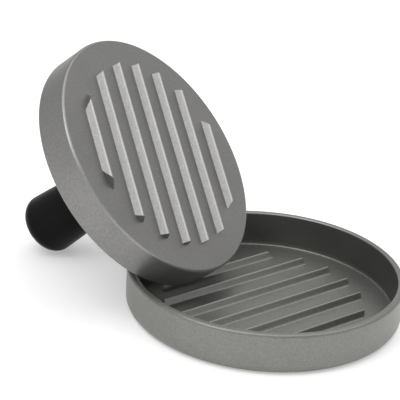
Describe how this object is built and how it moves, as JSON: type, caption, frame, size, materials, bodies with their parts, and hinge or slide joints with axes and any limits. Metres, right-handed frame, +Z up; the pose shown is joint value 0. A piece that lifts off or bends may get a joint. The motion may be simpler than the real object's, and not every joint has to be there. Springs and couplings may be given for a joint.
{
  "type": "patty press",
  "caption": "Round cast aluminium patty press: a shallow ridged tray and a ridged plunger with a black knob handle.",
  "frame": {"origin": "centre of the tray's flat underside", "axes": "+Z up, along the tray's axis; +X the way the resting plunger's face leans"},
  "size_m": [0.1777, 0.12, 0.1006],
  "materials": {
    "tray_coating": "grey non-stick coating on cast aluminium, satin",
    "plate_coating": "grey non-stick coating on cast aluminium, satin",
    "handle_plastic": "black moulded plastic, satin",
    "brass": "machined",
    "steel": "zinc plated"
  },
  "bodies": {
    "tray": {"tray": "tray_coating"},
    "plunger": {"press_plate": "plate_coating", "handle_stud": "steel", "stud_nut": "steel", "spring_washer": "steel", "flat_washer": "steel"},
    "handle": {"handle_grip": "handle_plastic", "knob_insert": "brass"}
  },
  "joints": [
    {"name": "plunger_tip", "type": "hinge", "parent": "tray", "child": "plunger", "pos_m": [-0.0362, 0, 0.0267], "axis": [0, 1, 0], "range_deg": [0, 131.6]},
    {"name": "handle_turn", "type": "hinge", "parent": "plunger", "child": "handle", "pos_m": [-0.06659, 0, 0.04813], "axis": [-0.7478, 0, -0.6639], "range_deg": [0, 360]}
  ]
}
